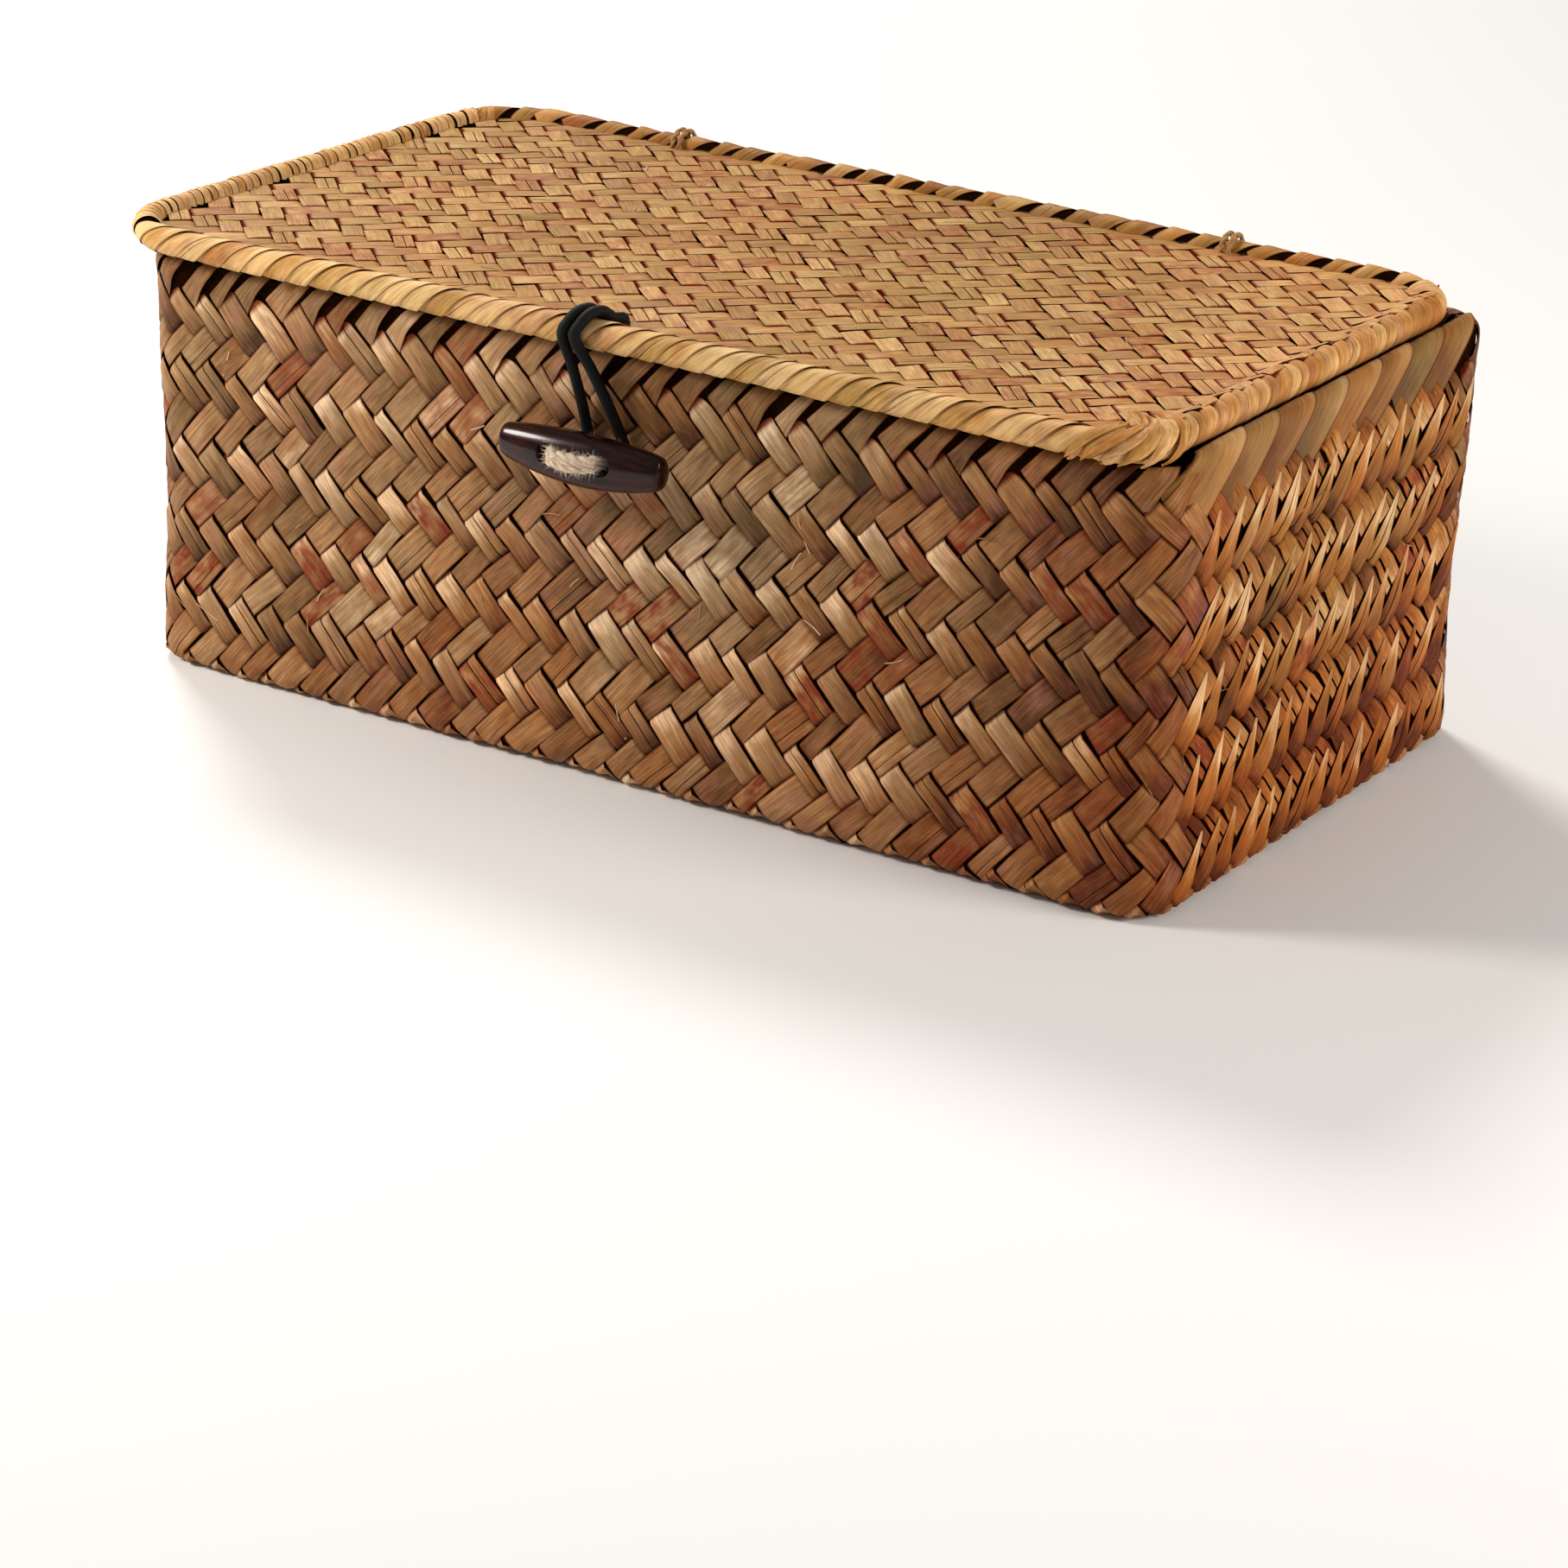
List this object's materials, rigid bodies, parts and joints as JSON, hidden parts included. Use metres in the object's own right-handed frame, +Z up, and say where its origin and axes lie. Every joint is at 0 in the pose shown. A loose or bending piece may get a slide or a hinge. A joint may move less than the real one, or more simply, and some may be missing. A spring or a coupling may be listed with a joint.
{
  "type": "woven lidded box",
  "caption": "Rectangular storage box plaited from flattened straw, with a flat lid hinged on twine ties at the back and closed by an elastic loop over a toggle.",
  "frame": {"origin": "centre of the flat underside of the body", "axes": "+X to the right along the long front, +Y to the back where the lid is hinged, +Z up"},
  "size_m": [0.2928, 0.1819, 0.115],
  "materials": {
    "straw_body": "dry plaited straw, golden brown with lighter and redder strips, satin",
    "straw_fold": "smooth folded straw leaves, satin",
    "straw_lid": "fine plaited straw, peach gold, satin",
    "straw_roll": "wound straw, satin",
    "cane": "split cane, smooth",
    "twine": "fluffy twisted plant twine, matt",
    "elastic": "black covered elastic cord",
    "dark_wood": "dark brown, polished"
  },
  "bodies": {
    "basket": {"woven_body": "straw_body", "rim_fold": "straw_fold", "rim_splint": "cane", "toggle_shank": "twine", "hinge_tie_left": "twine", "hinge_tie_right": "twine"},
    "lid": {"lid_panel": "straw_lid", "lid_rim": "straw_roll", "lid_hoop": "cane", "loop_knot": "elastic"},
    "loop": {"elastic_loop": "elastic"},
    "toggle": {"toggle": "dark_wood", "toggle_stitch": "twine"}
  },
  "joints": [
    {"name": "lid_hinge", "type": "hinge", "parent": "basket", "child": "lid", "pos_m": [0, 0.0736, 0.10805], "axis": [-1, 0, 0], "range_deg": [0, 110]},
    {"name": "loop_swing", "type": "hinge", "parent": "lid", "child": "loop", "pos_m": [-0.009, -0.08095, 0.10805], "axis": [-1, 0, 0], "range_deg": [-110, 0], "deforming": ["elastic_loop"]},
    {"name": "toggle_swivel", "type": "hinge", "parent": "basket", "child": "toggle", "pos_m": [-0.002, -0.08983, 0.0826], "axis": [0, 1, 0], "range_deg": [-30, 30]}
  ],
  "couplings": [
    {"joint": "loop_swing", "follows": "lid_hinge", "ratio": -1}
  ]
}
